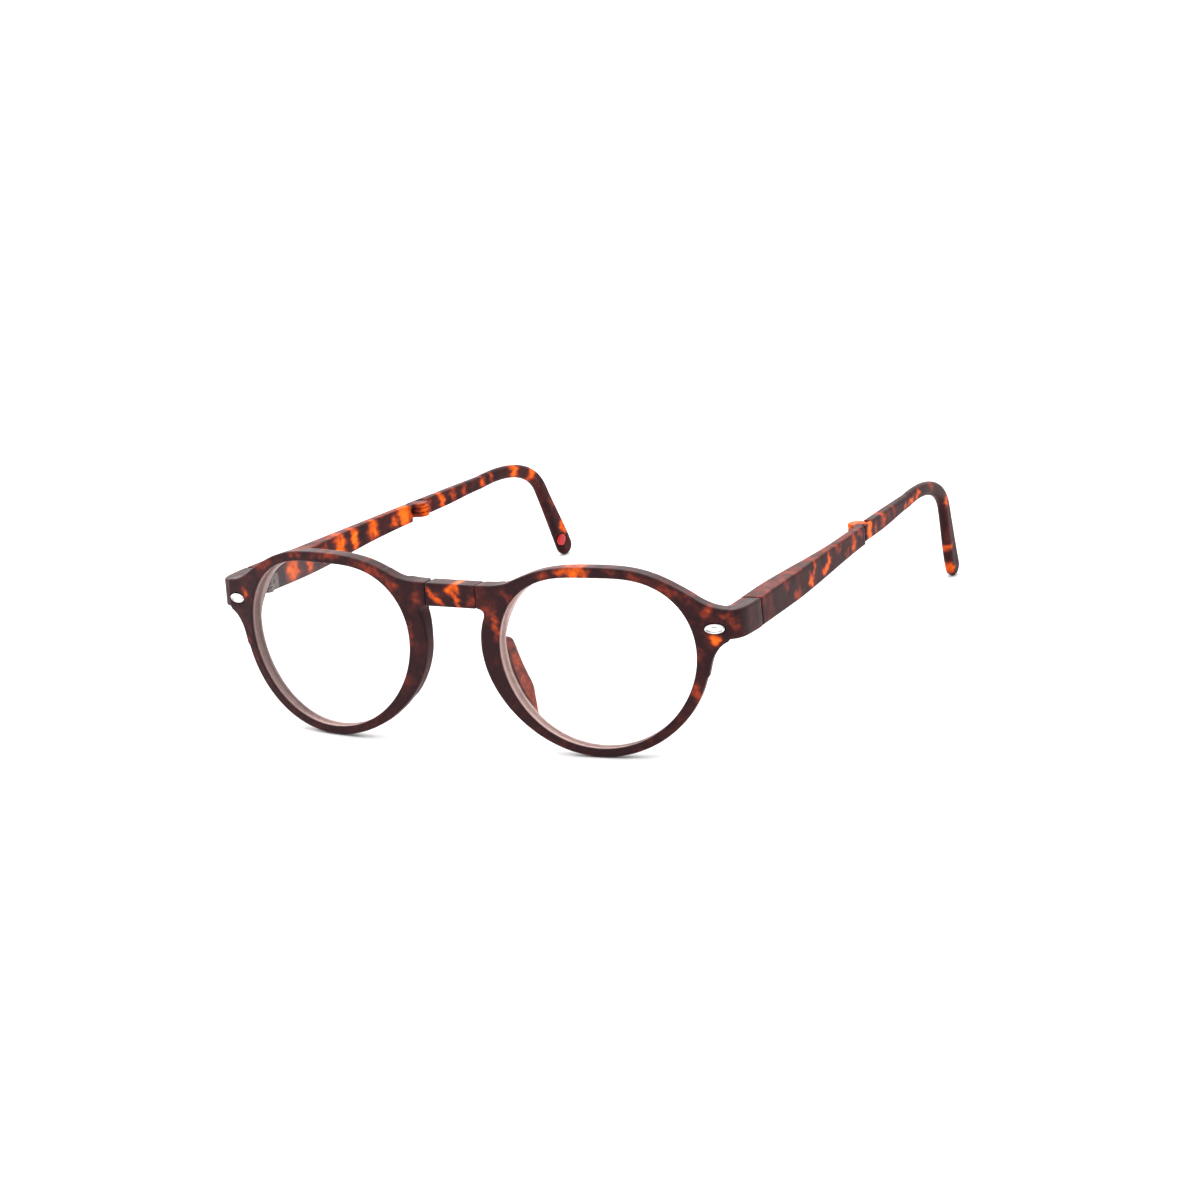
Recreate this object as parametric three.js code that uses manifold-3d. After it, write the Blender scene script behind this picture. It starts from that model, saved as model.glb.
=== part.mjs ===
// Folding reading glasses, in millimetres, +Z up.
// The front faces -Y and the temples run towards +Y. The wearer's left is +X, so names with left_ are at +X.
// Everything is laid out in the wearing frame: X = 0 at the middle of the bridge, Y = 0 at the bridge's front
// face, Z = 0 at the top outer edge of the temple at its hinge. One outer group then tips it by the small
// angle at which the glasses stand on the rims and the temple tips, with the origin at the bottom centre.
import * as THREE from 'three';
import { mergeVertices } from 'three/addons/utils/BufferGeometryUtils.js';
import Module from 'manifold-3d';

const wasm = await Module();
wasm.setup();

const RAD = Math.PI / 180;
const GAP = 0.15; // clearance between pieces that nearly touch

// Driving dimensions.
const FRONT = {
  flat: 11.86, // half width of the straight middle of the front
  wrap: 217.5, // radius of the curve that the front follows outside it
  lean: 3 * RAD, // the top of the front leans back
  depth: 4.2, // front face to back face
};
const LENS = { s: 35.17, z: -11.11, mean: 21.05, wide: 2.26, corner: 0.76, square: 0.16 };
const GROOVE = { depth: 0.8, from: 1.25, to: 3.25 };
const RIM = { thin: 1.95, nasal: 3.0, temporal: 0.8, top: 0.4 };
const LINK = { half: 6.4, top: 4.1, bottom: -1.1 };
const BRIDGE_PIN = { s: 8.2, depth: 2.7, radius: 0.5, knuckle: 1.5, slotLow: 0.4, slotHigh: 2.6 };
const HINGE = { x: 68.0, y: 15.05, seam: 2.0, converge: 5 * RAD };
const HINGE_AXIS = { across: -6.2, along: 2.0, barrel: 1.15, screw: 0.5, head: 0.95, top: -2.1, bottom: -5.5 };
const LEAF = { outer: -5.05, inner: -5.75, frontEnd: -4.6, templeEnd: 10.0 };
const FOLD = { along: 62.6, across: -2.9, knuckle: 2.1, pin: 0.6, tall: 3.3, seam: 60.35, skin: 0.65, step: 0.6 };
const TEMPLE = { thickHinge: 4.9, thickFold: 2.4, tallHinge: 6.2, tallFold: 4.4, tallRear: 3.2 };
const HOOK = { start: 88, tipAlong: 117.4, tipZ: -27.7, toeIn: 1.55, tipHalf: 2.5 };
const RIVET = { s: 62.93, z: -3.9, halfLong: 2.3, halfTall: 1.1, proud: 0.35, sunk: 0.9 };
const DOT = { along: 115.5, z: -23.4, radius: 1.45, sunk: 0.5, proud: 0.15 };

// ---------- solids ----------

function solid(geometry) {
  const bare = geometry.clone();
  for (const name of Object.keys(bare.attributes)) if (name !== 'position') bare.deleteAttribute(name);
  const merged = mergeVertices(bare, 1e-4);
  const source = merged.index.array;
  const kept = [];
  for (let i = 0; i < source.length; i += 3) {
    const [a, b, c] = [source[i], source[i + 1], source[i + 2]];
    if (a !== b && b !== c && c !== a) kept.push(a, b, c);
  }
  const mesh = new wasm.Mesh({
    numProp: 3,
    vertProperties: new Float32Array(merged.attributes.position.array),
    triVerts: new Uint32Array(kept),
  });
  return new wasm.Manifold(mesh);
}

function toGeometry(manifold) {
  const mesh = manifold.getMesh();
  const geometry = new THREE.BufferGeometry();
  geometry.setAttribute('position', new THREE.BufferAttribute(new Float32Array(mesh.vertProperties), 3));
  geometry.setIndex(new THREE.BufferAttribute(new Uint32Array(mesh.triVerts), 1));
  return geometry;
}

// Moves every corner of a geometry by a function of its place.
function warp(geometry, rule) {
  const result = geometry.clone();
  const places = result.attributes.position;
  for (let i = 0; i < places.count; i += 1) {
    places.setXYZ(i, ...rule(places.getX(i), places.getY(i), places.getZ(i)));
  }
  return result;
}

function mirrored(geometry) {
  const result = warp(geometry, (x, y, z) => [-x, y, z]);
  const index = result.index.array;
  for (let i = 0; i < index.length; i += 3) [index[i + 1], index[i + 2]] = [index[i + 2], index[i + 1]];
  return result;
}

const flat = (depth) => ({ depth, bevelEnabled: false, curveSegments: 12 });

function box(x0, x1, y0, y1, z0, z1) {
  const block = new THREE.BoxGeometry(x1 - x0, y1 - y0, z1 - z0);
  return solid(block.translate((x0 + x1) / 2, (y0 + y1) / 2, (z0 + z1) / 2));
}

function post(x, y, radius, z0, z1, sides = 24) {
  const round = new THREE.CylinderGeometry(radius, radius, z1 - z0, sides).rotateX(90 * RAD);
  return solid(round.translate(x, y, (z0 + z1) / 2));
}

// A plan outline in (x, y), raised from z0 to z1.
function raised(shape, z0, z1) {
  return solid(new THREE.ExtrudeGeometry(shape, flat(z1 - z0)).translate(0, 0, z0));
}

// An outline drawn on the front in (s, z), cut through from one depth to another.
function throughFront(shape, from, to) {
  const plate = new THREE.ExtrudeGeometry(shape, flat(to - from));
  return solid(warp(plate, (a, b, c) => [a, to - c, b]));
}

// ---------- the front's own space: s along the curve, depth behind the face, z up ----------

function onFront(s, depth, z) {
  const turn = Math.max(s - FRONT.flat, 0) / FRONT.wrap;
  const x = Math.min(s, FRONT.flat) + (FRONT.wrap - depth) * Math.sin(turn);
  const y = FRONT.wrap - (FRONT.wrap - depth) * Math.cos(turn);
  return [x, y * Math.cos(FRONT.lean) + z * Math.sin(FRONT.lean), z * Math.cos(FRONT.lean)];
}

function lensRadius(angle) {
  return LENS.mean + LENS.wide * Math.cos(2 * angle) + LENS.corner * Math.sin(3 * angle)
    - LENS.square * Math.cos(4 * angle);
}

function bump(angle, centre, before, after) {
  const away = Math.atan2(Math.sin(angle - centre), Math.cos(angle - centre));
  return Math.exp(-((away / (away < 0 ? before : after)) ** 2));
}

function rimWidth(angle) {
  return RIM.thin + RIM.nasal * bump(angle, 172 * RAD, 32 * RAD, 41 * RAD)
    + RIM.temporal * bump(angle, 0, 45 * RAD, 45 * RAD) + RIM.top * bump(angle, 90 * RAD, 40 * RAD, 40 * RAD);
}

// A closed outline around the lens centre, at a distance given as a function of the angle.
function around(radius, count = 72) {
  const points = [];
  for (let i = 0; i < count; i += 1) {
    const angle = (i / count) * 360 * RAD;
    const r = radius(angle);
    points.push(new THREE.Vector2(LENS.s + r * Math.cos(angle), LENS.z + r * Math.sin(angle)));
  }
  return new THREE.Shape(points);
}

// ---------- front pieces ----------

// The block that joins the rim to the bridge link.
function lugShape() {
  const inner = LINK.half + 2 * GAP;
  const shape = new THREE.Shape();
  shape.moveTo(inner, LINK.top);
  shape.lineTo(9.8, LINK.top + 0.1);
  shape.quadraticCurveTo(13.5, 4.4, 17.4, 5.9);
  shape.lineTo(17, 0);
  shape.lineTo(9, -3.6);
  shape.quadraticCurveTo(8.4, LINK.bottom, inner, LINK.bottom);
  return shape;
}

// The horn that joins the rim to the end piece.
function hornShape() {
  const shape = new THREE.Shape();
  shape.moveTo(49.5, 6.5);
  shape.quadraticCurveTo(54.6, 5.2, 58.2, 2.9);
  shape.quadraticCurveTo(61.2, 0.7, 65.8, -0.1);
  shape.lineTo(65.8, -6.9);
  shape.quadraticCurveTo(62.2, -8.2, 60.7, -14.2);
  shape.lineTo(58.5, -13);
  shape.lineTo(57, 0);
  return shape;
}

// Nose pad: a fin on the back of the nasal side, leaning outwards, deepest above its middle.
function nosePad() {
  const low = -25.5;
  const high = -8.2;
  const fin = new THREE.Shape();
  fin.moveTo(0.4, 3);
  fin.lineTo(4.4, 3);
  fin.lineTo(5.4, 7.4);
  fin.quadraticCurveTo(5, 8.6, 3.8, 8);
  fin.lineTo(0.9, 4.6);
  const steps = { ...flat(high - low), steps: 12 };
  const bar = new THREE.ExtrudeGeometry(fin, steps);
  const edge = (z) => 7.0 + 0.0268 * Math.max(-7.5 - z, 0) ** 2;
  const swell = (z) => {
    const up = (z - low) / (high - low);
    return 0.15 + 0.87 * Math.max(Math.sin(up * up * Math.PI), 0) ** 0.4;
  };
  return solid(warp(bar, (a, b, c) => {
    const z = low + c;
    const grow = swell(z);
    return [edge(z) + 0.4 + (a - 0.4) * (0.5 + 0.5 * grow), 3 + (b - 3) * grow, z];
  }));
}

// The end piece turns the corner and carries the hinge; its back end is square to the temple.
function endPiece() {
  const plan = new THREE.Shape();
  plan.moveTo(57.4, 6.4);
  plan.lineTo(62, 6.2);
  plan.lineTo(65.2, 6.6);
  plan.quadraticCurveTo(68, 7.2, HINGE.x, 11);
  plan.lineTo(HINGE.x, HINGE.y);
  plan.lineTo(HINGE.x - 0.5, HINGE.y + 6);
  plan.lineTo(62.6, HINGE.y + 6);
  plan.lineTo(63.5, 10.9);
  plan.quadraticCurveTo(61.5, 9.7, 57.4, 8.8);
  return raised(plan, -TEMPLE.tallHinge - 0.1, 0);
}

// Temple space: across is negative inwards from the outer face, along runs to the rear, z up.
const TO_WEARING = new THREE.Matrix4().makeRotationZ(HINGE.converge).setPosition(HINGE.x, HINGE.y, 0);

function inWearing(manifold) {
  return solid(toGeometry(manifold).applyMatrix4(TO_WEARING));
}

function rimSolid() {
  const outline = throughFront(around((a) => lensRadius(a) + rimWidth(a)), 0, FRONT.depth);
  const opening = throughFront(around(lensRadius), -1, FRONT.depth + 1);
  const groove = throughFront(around((a) => lensRadius(a) + GROOVE.depth), GROOVE.from, GROOVE.to);
  const lug = throughFront(lugShape(), 0, FRONT.depth);
  const horn = throughFront(hornShape(), 0, FRONT.depth);
  let body = outline.add(lug).add(horn).add(nosePad()).subtract(opening).subtract(groove);
  body = body.subtract(bridgeSlot());
  const rim = solid(warp(toGeometry(body), onFront));
  const behindSeam = inWearing(box(-20, 10, HINGE.seam - GAP, 30, -20, 20));
  const overHinge = inWearing(box(-12, -TEMPLE.thickHinge, -5.2, 30, -20, 20));
  const corner = endPiece();
  const lensRoom = solid(warp(toGeometry(throughFront(around((a) => lensRadius(a) + 1.2), -3, 14)), onFront));
  const whole = rim.add(corner.subtract(lensRoom));
  return whole.subtract(overHinge).subtract(behindSeam).subtract(rivetSolid(GAP));
}

// Everything that the link's tongue and the turning of the joint need out of the rim's lug.
function bridgeSlot() {
  const pin = BRIDGE_PIN;
  const room = pin.knuckle + GAP;
  const hole = post(pin.s, pin.depth, pin.radius + GAP, LINK.bottom + 0.3 - GAP, LINK.top - 0.3 + GAP);
  const round = post(pin.s, pin.depth, room, pin.slotLow, pin.slotHigh, 32);
  const open = box(5, pin.s, pin.depth - room, FRONT.depth + 2, pin.slotLow, pin.slotHigh);
  const corner = box(5, pin.s, pin.depth, FRONT.depth + 1, LINK.bottom - 1, LINK.top + 1);
  const kept = post(pin.s, pin.depth, pin.knuckle, LINK.bottom - 2, LINK.top + 2, 32);
  return hole.add(round).add(open).add(corner.subtract(kept));
}

function lensSolid() {
  const rings = 4;
  const profile = [];
  for (let i = 0; i <= rings; i += 1) profile.push(new THREE.Vector2(i / rings, 0));
  for (let i = rings; i >= 0; i -= 1) profile.push(new THREE.Vector2(i / rings, 1));
  const disc = new THREE.LatheGeometry(profile, 60);
  const seated = GROOVE.depth - 2 * GAP;
  const shaped = warp(disc, (x, h, z) => {
    const r = Math.hypot(x, z);
    const angle = Math.atan2(z, x);
    const reach = r * (lensRadius(angle) + seated);
    const dome = 1 - r * r;
    const depth = h < 0.5 ? GROOVE.from + 2 * GAP - 1.3 * dome : GROOVE.to - 2 * GAP - 0.5 * dome;
    return [LENS.s + reach * Math.cos(angle), depth, LENS.z + reach * Math.sin(angle)];
  });
  const closed = solid(shaped);
  const outward = closed.volume() > 0 ? closed : solid(mirrored(mergeVertices(shaped)));
  return solid(warp(toGeometry(outward), onFront));
}

function rivetSolid(extra) {
  const oval = new THREE.Shape();
  oval.absellipse(RIVET.s, RIVET.z, RIVET.halfLong + extra, RIVET.halfTall + extra, 0, 360 * RAD);
  const plug = throughFront(oval, -RIVET.proud, RIVET.sunk + extra);
  return solid(warp(toGeometry(plug), onFront));
}

function linkSolid() {
  const pin = BRIDGE_PIN;
  let link = box(-LINK.half, LINK.half, 0, FRONT.depth, LINK.bottom, LINK.top);
  for (const side of [-1, 1]) {
    const x = side * pin.s;
    const low = pin.slotLow + GAP;
    const high = pin.slotHigh - GAP;
    const root = side * 6;
    const front = pin.depth - pin.knuckle;
    const neck = box(Math.min(x, root), Math.max(x, root), front, FRONT.depth, low, high);
    const end = post(x, pin.depth, pin.knuckle, low, high, 32);
    link = link.add(neck).add(end).subtract(post(x, pin.depth, pin.radius + GAP, low - 1, high + 1));
  }
  return solid(warp(toGeometry(link), onFront));
}

function bridgePinSolid() {
  const pin = BRIDGE_PIN;
  const rod = post(pin.s, pin.depth, pin.radius, LINK.bottom + 0.3, LINK.top - 0.3);
  return solid(warp(toGeometry(rod), onFront));
}

// ---------- hinge and temples ----------

const barrelBand = (HINGE_AXIS.top - HINGE_AXIS.bottom) / 3;

function barrel(low, high) {
  return post(HINGE_AXIS.across, HINGE_AXIS.along, HINGE_AXIS.barrel, low, high);
}

function webTo(along, low, high) {
  const from = Math.min(along, HINGE_AXIS.along);
  const to = Math.max(along, HINGE_AXIS.along);
  return box(HINGE_AXIS.across, LEAF.outer, from, to, low, high);
}

function screwBore() {
  const axis = HINGE_AXIS;
  return post(axis.across, axis.along, axis.screw + GAP, axis.bottom - 1, axis.top + 1);
}

function frontLeaf() {
  const edge = HINGE_AXIS.along - HINGE_AXIS.barrel - 0.3;
  let leaf = box(LEAF.inner, LEAF.outer, LEAF.frontEnd, edge, HINGE_AXIS.bottom, HINGE_AXIS.top);
  for (const band of [0, 2]) {
    const low = HINGE_AXIS.bottom + band * barrelBand;
    const high = low + barrelBand;
    leaf = leaf.add(barrel(low, high)).add(webTo(edge - 0.2, low, high));
  }
  return inWearing(leaf.subtract(screwBore()));
}

function templeLeaf() {
  const edge = HINGE_AXIS.along + HINGE_AXIS.barrel + 0.3;
  const low = HINGE_AXIS.bottom + barrelBand + GAP;
  const high = HINGE_AXIS.top - barrelBand - GAP;
  const plate = box(LEAF.inner, LEAF.outer, edge, LEAF.templeEnd, HINGE_AXIS.bottom, HINGE_AXIS.top);
  return inWearing(plate.add(barrel(low, high)).add(webTo(edge + 0.2, low, high)).subtract(screwBore()));
}

function hingeScrew() {
  const axis = HINGE_AXIS;
  const head = post(axis.across, axis.along, axis.head, axis.top + GAP, axis.top + 0.65);
  const shank = post(axis.across, axis.along, axis.screw, axis.bottom, axis.top + 0.3);
  return inWearing(head.add(shank));
}

const ease = (t) => {
  const u = Math.min(Math.max(t, 0), 1);
  return u * u * (3 - 2 * u);
};

function thickness(along) {
  return THREE.MathUtils.lerp(TEMPLE.thickHinge, TEMPLE.thickFold, ease((along - 8) / 40));
}

function tall(along) {
  const front = THREE.MathUtils.lerp(TEMPLE.tallHinge, TEMPLE.tallFold, ease((along - 18) / 46));
  return THREE.MathUtils.lerp(front, TEMPLE.tallRear, ease((along - FOLD.along) / 24));
}

// A side outline in (along, z), as thick as a function of along, pushed inwards by a function of z.
function sideSolid(points, thick, inward = () => 0) {
  const plate = new THREE.ExtrudeGeometry(new THREE.Shape(points), flat(1));
  return solid(warp(plate, (a, b, c) => [(c - 1) * thick(a) - inward(b), a, b]));
}

function foldBands() {
  const gap = GAP / 2;
  const third = FOLD.tall / 3;
  return {
    tongueLow: -2 * third + gap,
    tongueHigh: -third - gap,
    slotLow: -2 * third - gap,
    slotHigh: -third + gap,
  };
}

function foldBore() {
  return post(FOLD.across, FOLD.along, FOLD.pin + GAP, -FOLD.tall + 0.25, -0.25);
}

function templeFront() {
  const points = [];
  const start = HINGE.seam + GAP;
  const end = FOLD.seam - GAP;
  const count = 14;
  for (let i = 0; i <= count; i += 1) {
    const along = start + ((end - start) * i) / count;
    points.push(new THREE.Vector2(along, -tall(along)));
  }
  points.push(new THREE.Vector2(end, 0), new THREE.Vector2(start, 0));
  const bands = foldBands();
  const ears = [[-FOLD.tall, bands.slotLow], [bands.slotHigh, 0]];
  let body = sideSolid(points, thickness);
  for (const [low, high] of ears) {
    const knuckle = post(FOLD.across, FOLD.along, FOLD.knuckle, low, high, 32);
    const web = box(FOLD.across + 0.4, -FOLD.skin - GAP, FOLD.seam - 1, FOLD.along, low, high);
    body = body.add(knuckle).add(web);
  }
  return inWearing(body.subtract(foldBore()));
}

function hookOutline() {
  const centre = new THREE.CurvePath();
  const at = (along, z) => new THREE.Vector3(along, z, 0);
  const level = -TEMPLE.tallRear / 2;
  const turnEnd = at(111.8, -9.15);
  const levelEnd = at(HOOK.start, level);
  centre.add(new THREE.CubicBezierCurve3(levelEnd, at(102.3, -0.25), at(110, -3.9), turnEnd));
  centre.add(new THREE.LineCurve3(turnEnd, at(HOOK.tipAlong, HOOK.tipZ + HOOK.tipHalf)));
  const upper = [];
  const lower = [];
  const count = 18;
  for (let i = 0; i <= count; i += 1) {
    const u = i / count;
    const p = centre.getPointAt(u);
    const t = centre.getTangentAt(u);
    const half = THREE.MathUtils.lerp(TEMPLE.tallRear / 2, HOOK.tipHalf, ease((u - 0.45) / 0.5));
    upper.push(new THREE.Vector2(p.x - t.y * half, p.y + t.x * half));
    lower.push(new THREE.Vector2(p.x + t.y * half, p.y - t.x * half));
  }
  const p = centre.getPointAt(1);
  const t = centre.getTangentAt(1);
  const cap = [];
  for (let i = 1; i < 8; i += 1) {
    const turn = (i / 8) * 180 * RAD;
    const side = HOOK.tipHalf * Math.cos(turn);
    const out = HOOK.tipHalf * Math.sin(turn);
    cap.push(new THREE.Vector2(p.x - t.y * side + t.x * out, p.y + t.x * side + t.y * out));
  }
  return { upper, lower, cap };
}

// How far the hook leans inwards at a height.
const toeIn = (z) => HOOK.toeIn * ease((-2 - z) / 26);

function templeRear(withDot) {
  const hook = hookOutline();
  const start = FOLD.seam + GAP;
  const top = [new THREE.Vector2(start, 0), new THREE.Vector2(FOLD.along + 10, 0)];
  const under = [];
  for (const along of [84, 80, 76, 73, 69, 65, start]) {
    const raised = FOLD.step * (1 - ease((along - FOLD.seam) / 20));
    under.push(new THREE.Vector2(along, raised - tall(along)));
  }
  const points = [...top, ...hook.upper, ...hook.cap, ...hook.lower.reverse(), ...under].reverse();
  const clear = FOLD.along + FOLD.knuckle + 0.3;
  const behindSkin = box(-8, -FOLD.skin, start - 1, clear, -10, 1);
  const bands = foldBands();
  const knuckle = post(FOLD.across, FOLD.along, FOLD.knuckle, bands.tongueLow, bands.tongueHigh, 32);
  const outer = -FOLD.skin + 0.1;
  const web = box(FOLD.across + 0.1, outer, FOLD.along, clear + 0.4, bands.tongueLow, bands.tongueHigh);
  let body = sideSolid(points, () => TEMPLE.thickFold, toeIn).subtract(behindSkin);
  body = body.add(knuckle).add(web).subtract(foldBore());
  return inWearing(withDot ? body.subtract(dotSolid(GAP)) : body);
}

function foldPin() {
  return inWearing(post(FOLD.across, FOLD.along, FOLD.pin, -FOLD.tall + 0.4, -0.4));
}

// Plain round inlay on the inner face of a temple tip, in temple space.
function dotSolid(extra) {
  const face = -TEMPLE.thickFold - toeIn(DOT.z);
  const radius = DOT.radius + extra;
  const disc = new THREE.CylinderGeometry(radius, radius, DOT.sunk + DOT.proud + extra, 32);
  const centre = face + (DOT.sunk - DOT.proud + extra) / 2;
  return solid(disc.rotateZ(90 * RAD).translate(centre, DOT.along, DOT.z));
}

// ---------- materials and assembly ----------

const LOOKS = {
  tortoise: { color: 0x5a2d24, roughness: 0.55, metalness: 0 },
  amber: { color: 0x7a3a26, roughness: 0.55, metalness: 0 },
  glass: { color: 0xe8eef2, roughness: 0.05, metalness: 0, transparent: true, opacity: 0.35 },
  silver: { color: 0xc9ccd0, roughness: 0.22, metalness: 1 },
  steel: { color: 0x8d9196, roughness: 0.35, metalness: 1 },
  red: { color: 0xb3202c, roughness: 0.3, metalness: 0 },
};

const wearing = new THREE.Group();

function add(name, geometry, look) {
  const mesh = new THREE.Mesh(geometry, new THREE.MeshStandardMaterial(LOOKS[look]));
  mesh.name = name;
  wearing.add(mesh);
}

// Each piece is laid out on the wearer's left and mirrored for the right. The build rule is told which it is,
// because only the right temple tip has the inlay.
const PAIRS = [
  ['rim', rimSolid, 'tortoise'],
  ['lens', lensSolid, 'glass'],
  ['bridge_pin', bridgePinSolid, 'steel'],
  ['end_rivet', () => rivetSolid(0), 'silver'],
  ['hinge_front_leaf', frontLeaf, 'steel'],
  ['hinge_temple_leaf', templeLeaf, 'steel'],
  ['hinge_screw', hingeScrew, 'silver'],
  ['temple_front', templeFront, 'tortoise'],
  ['fold_pin', foldPin, 'steel'],
  ['temple_rear', templeRear, 'amber'],
];

add('bridge_link', toGeometry(linkSolid()), 'tortoise');
for (const [name, build, look] of PAIRS) {
  add(`left_${name}`, toGeometry(build(false)), look);
  add(`right_${name}`, mirrored(toGeometry(build(true))), look);
}
add('right_tip_dot', mirrored(toGeometry(inWearing(dotSolid(0)))), 'red');

// The glasses stand on the rims' bottoms and the temple tips, so the wearing frame tips back a little.
const rimBottom = LENS.z - lensRadius(-90 * RAD) - rimWidth(-90 * RAD);
const [, footY, footZ] = onFront(LENS.s, FRONT.depth, rimBottom);
const tipY = HINGE.y + HOOK.tipAlong * Math.cos(HINGE.converge);
wearing.rotation.x = -Math.atan((HOOK.tipZ - footZ) / (tipY - footY));
wearing.updateMatrixWorld(true);
const bounds = new THREE.Box3().setFromObject(wearing, true);
wearing.position.set(0, -(bounds.min.y + bounds.max.y) / 2, -bounds.min.z);

const glasses = new THREE.Group();
glasses.add(wearing);
export default glasses;
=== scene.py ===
"""Folding reading glasses: the looks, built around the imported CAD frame.

Sizes are in millimetres and in the wearing frame of the CAD source: X = 0 at the middle of the bridge,
Y = 0 at the bridge's front face, Z = 0 at the top outer edge of the temple at its hinge. place() turns that
frame into the row frame, where the glasses stand on the rims and the temple tips. Each moulded piece is a
signed distance field, negative inside, and skin() meshes it. Left is the wearer's left, at +X.
"""
import math

import bpy
import numpy as np
from mathutils import Matrix, Vector


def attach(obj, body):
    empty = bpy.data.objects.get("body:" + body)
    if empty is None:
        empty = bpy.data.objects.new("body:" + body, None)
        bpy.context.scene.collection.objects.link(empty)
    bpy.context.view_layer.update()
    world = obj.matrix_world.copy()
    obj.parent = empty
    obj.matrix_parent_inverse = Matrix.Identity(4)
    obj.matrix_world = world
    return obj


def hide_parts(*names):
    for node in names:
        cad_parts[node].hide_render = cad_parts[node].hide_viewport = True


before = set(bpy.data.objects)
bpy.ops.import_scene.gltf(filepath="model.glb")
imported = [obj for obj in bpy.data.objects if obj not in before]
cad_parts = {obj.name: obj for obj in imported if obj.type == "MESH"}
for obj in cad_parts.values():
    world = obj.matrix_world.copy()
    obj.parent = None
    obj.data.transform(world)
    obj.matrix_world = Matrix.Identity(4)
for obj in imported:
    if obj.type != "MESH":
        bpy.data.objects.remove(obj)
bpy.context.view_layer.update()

MM = 0.001
RAD = math.pi / 180
GAP = 0.15  # half of the clearance between two pieces that nearly touch

# The front: flat across the bridge, then curved back around the face, with its top leaning back.
FLAT, WRAP, LEAN, DEPTH = 11.86, 217.5, 3 * RAD, 4.2
LOW_DEPTH = 3.0  # of the rim below its top
LENS_S, LENS_Z = 35.17, -11.11
LENS_MEAN, LENS_WIDE, LENS_CORNER, LENS_SQUARE = 21.05, 2.26, 0.76, 0.16
GROOVE_DEPTH, GROOVE_FROM, GROOVE_TO = 0.8, 0.85, 2.45
DOME_FRONT, DOME_BACK = 0.8, 0.3  # how far each face of a lens bulges
RIM_THIN, RIM_NASAL, RIM_TEMPORAL, RIM_TOP = 1.95, 3.0, 0.8, 0.4
RIM_EDGE = 0.42  # rounding of the rim's edges
BACK_EDGE = 1.4  # rounding of the rim's outer edge at the back
LINK_HALF, LINK_TOP, LINK_BOTTOM = 6.5, 4.1, -1.1
SLIT = 0.1  # between the link and each rim
PIN_S, PIN_DEPTH, PIN_RADIUS, PIN_KNUCKLE, SLOT_LOW, SLOT_HIGH = 8.2, 2.7, 0.5, 1.5, 0.4, 2.6
PAD_LOW, PAD_HIGH = -25.5, -8.0

# Temple space: across (negative inwards from the outer face), along (to the rear), and z.
HINGE_X, HINGE_Y, CONVERGE, SEAM = 68.0, 15.05, 5 * RAD, 2.0
AXIS_ACROSS, AXIS_ALONG, BARREL, SCREW, AXIS_TOP, AXIS_BOTTOM = -6.2, 2.0, 1.15, 0.5, -2.1, -5.5
LEAF_OUTER, LEAF_INNER, LEAF_FRONT, LEAF_REAR = -5.05, -5.75, -4.6, 6.2
FRONT_RIVET, REAR_RIVET, HEAD_BALL, HEAD_SUNK = -2.4, 4.9, 0.95, 0.55  # heads on the leaves: places and ball
SCREW_HEAD, SCREW_SLOT = 0.95, 0.14  # radius, and half width of the slot
THICK_HINGE, THICK_FOLD, TALL_HINGE, TALL_FOLD, TALL_REAR = 4.9, 2.4, 6.2, 4.4, 3.2
FOLD_ALONG, FOLD_ACROSS, FOLD_KNUCKLE, FOLD_PIN, FOLD_TALL = 62.6, -2.9, 2.1, 0.6, 3.3
FOLD_SEAM, FOLD_SKIN, FOLD_STEP = 60.35, 0.65, 0.6
HOOK_START, TIP_ALONG, TIP_Z, TOE_IN, TIP_HALF = 88.0, 117.4, -27.7, 1.55, 2.5
HOOK_HALF = 1.85  # half height where the hook's bend ends
RIVET_S, RIVET_Z, RIVET_LONG, RIVET_TALL, RIVET_SUNK = 62.93, -3.9, 2.3, 1.1, 0.9
DOT_ALONG, DOT_Z, DOT_RADIUS, DOT_SUNK = 115.5, -23.4, 1.45, 0.5

# How the wearing frame stands in the row frame.
STAND_TILT, STAND_Y, STAND_Z = 2.1116 * RAD, -65.4781, 32.545

SIDES = {"left": 1, "right": -1}


# ---------- places ----------

def place(points, side=1):
    """Wearing-frame points in millimetres, as row-frame points in metres, mirrored for the right side."""
    x, y, z = points[:, 0] * side, points[:, 1], points[:, 2]
    c, s = math.cos(STAND_TILT), math.sin(STAND_TILT)
    return np.stack([x, y * c + z * s + STAND_Y, -y * s + z * c + STAND_Z], 1) * MM


def on_front(s, depth, z):
    """The wearing-frame point at s along the front's curve, a depth behind its face and a height."""
    turn = np.maximum(s - FLAT, 0) / WRAP
    x = np.minimum(s, FLAT) + (WRAP - depth) * np.sin(turn)
    y = WRAP - (WRAP - depth) * np.cos(turn)
    return np.stack([x, y * math.cos(LEAN) + z * math.sin(LEAN), z * math.cos(LEAN)], -1)


def front_space(x, y, z):
    """The inverse of on_front."""
    height = z / math.cos(LEAN)
    back = (y - height * math.sin(LEAN)) / math.cos(LEAN)
    turn = np.arctan2(x - FLAT, WRAP - back)
    curved = x > FLAT
    s = np.where(curved, FLAT + WRAP * turn, x)
    depth = np.where(curved, WRAP - np.hypot(x - FLAT, WRAP - back), back)
    return s, depth, height


def from_temple(across, along, z):
    x = HINGE_X + across * math.cos(CONVERGE) - along * math.sin(CONVERGE)
    y = HINGE_Y + across * math.sin(CONVERGE) + along * math.cos(CONVERGE)
    return np.stack([x, y, z], -1)


def to_temple(x, y):
    dx, dy = x - HINGE_X, y - HINGE_Y
    c, s = math.cos(CONVERGE), math.sin(CONVERGE)
    return dx * c + dy * s, dy * c - dx * s


# ---------- distance fields ----------

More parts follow.
